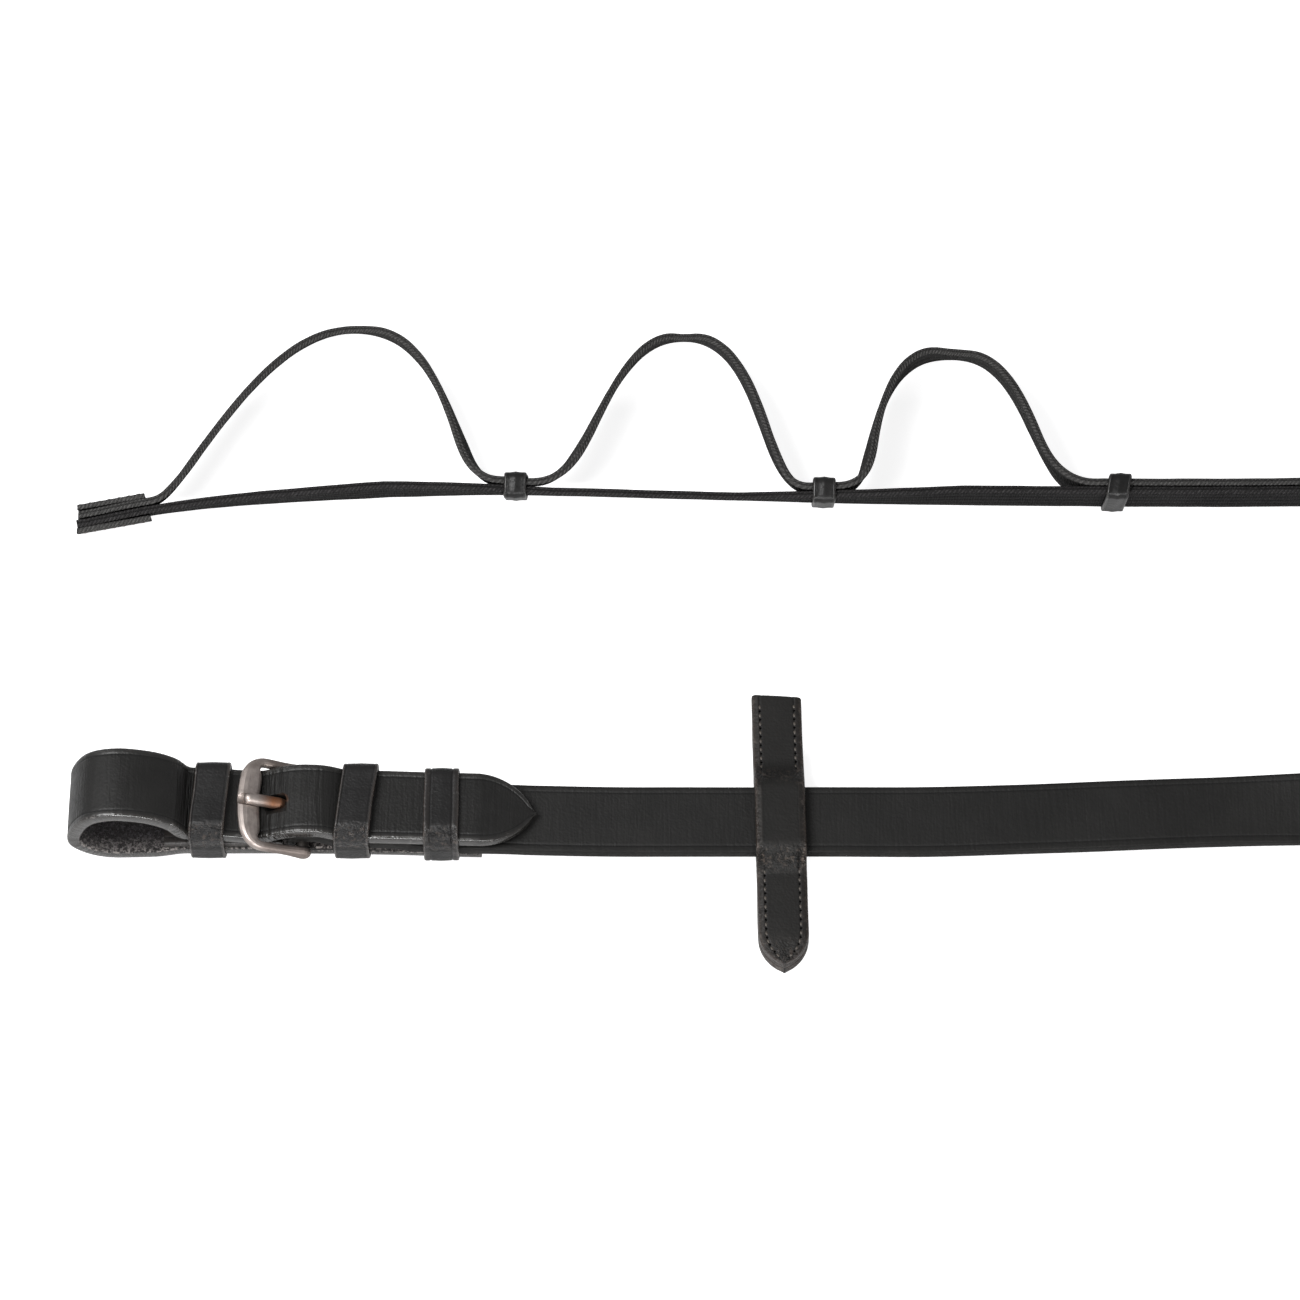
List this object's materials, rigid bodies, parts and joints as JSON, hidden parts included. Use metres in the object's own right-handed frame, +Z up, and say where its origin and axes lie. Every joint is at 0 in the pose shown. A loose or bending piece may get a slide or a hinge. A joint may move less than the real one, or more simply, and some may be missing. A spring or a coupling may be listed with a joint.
{
  "type": "riding rein",
  "caption": "Leather riding rein with a buckled bit loop, keepers, a sliding rein stop and a woven hand part with hand loops.",
  "frame": {"origin": "middle of the bounding box in plan, on the surface the rein lies on", "axes": "+X runs along the straight leather from the bit loop to the turn, +Y from the leather run to the web run, +Z up"},
  "size_m": [0.6167, 0.2116, 0.0245],
  "materials": {
    "rein_leather": "worn black bridle leather, waxed, with burnished edges",
    "safe_leather": "black leather with a rough flesh side",
    "keeper_leather": "worn black leather with glossy scuffs",
    "stop_leather": "matt black leather with brownish edges",
    "webbing": "faded black woven cotton webbing",
    "buckle_steel": "dull satin steel with fine scratches"
  },
  "bodies": {
    "rein": {"billet": "rein_leather", "buckle_safe": "safe_leather", "main_rein": "rein_leather", "buckle_frame": "buckle_steel", "fixed_keeper": "keeper_leather", "splice_backing": "rein_leather", "hand_web": "webbing", "loop_tape": "webbing", "web_keeper_1": "keeper_leather", "web_keeper_2": "keeper_leather", "web_keeper_3": "keeper_leather", "end_sleeve": "webbing"},
    "tongue": {"buckle_tongue": "buckle_steel"},
    "runner": {"runner_keeper": "keeper_leather"},
    "end_loop": {"end_keeper": "keeper_leather"},
    "stop": {"stop_front": "stop_leather", "stop_back": "stop_leather"}
  },
  "joints": [
    {"name": "tongue_hinge", "type": "hinge", "parent": "rein", "child": "tongue", "pos_m": [-0.24406, -0.04678, 0.00746], "axis": [0, 1, 0], "range_deg": [0, 8]},
    {"name": "runner_slide", "type": "slide", "parent": "rein", "child": "runner", "axis": [1, 0, 0], "range_m": [-0.0005, 0.0015]},
    {"name": "end_keeper_slide", "type": "slide", "parent": "rein", "child": "end_loop", "axis": [1, 0, 0], "range_m": [-0.005, 0.0025]},
    {"name": "stop_slide", "type": "slide", "parent": "rein", "child": "stop", "axis": [1, 0, 0], "range_m": [-0.04, 0.04]}
  ]
}
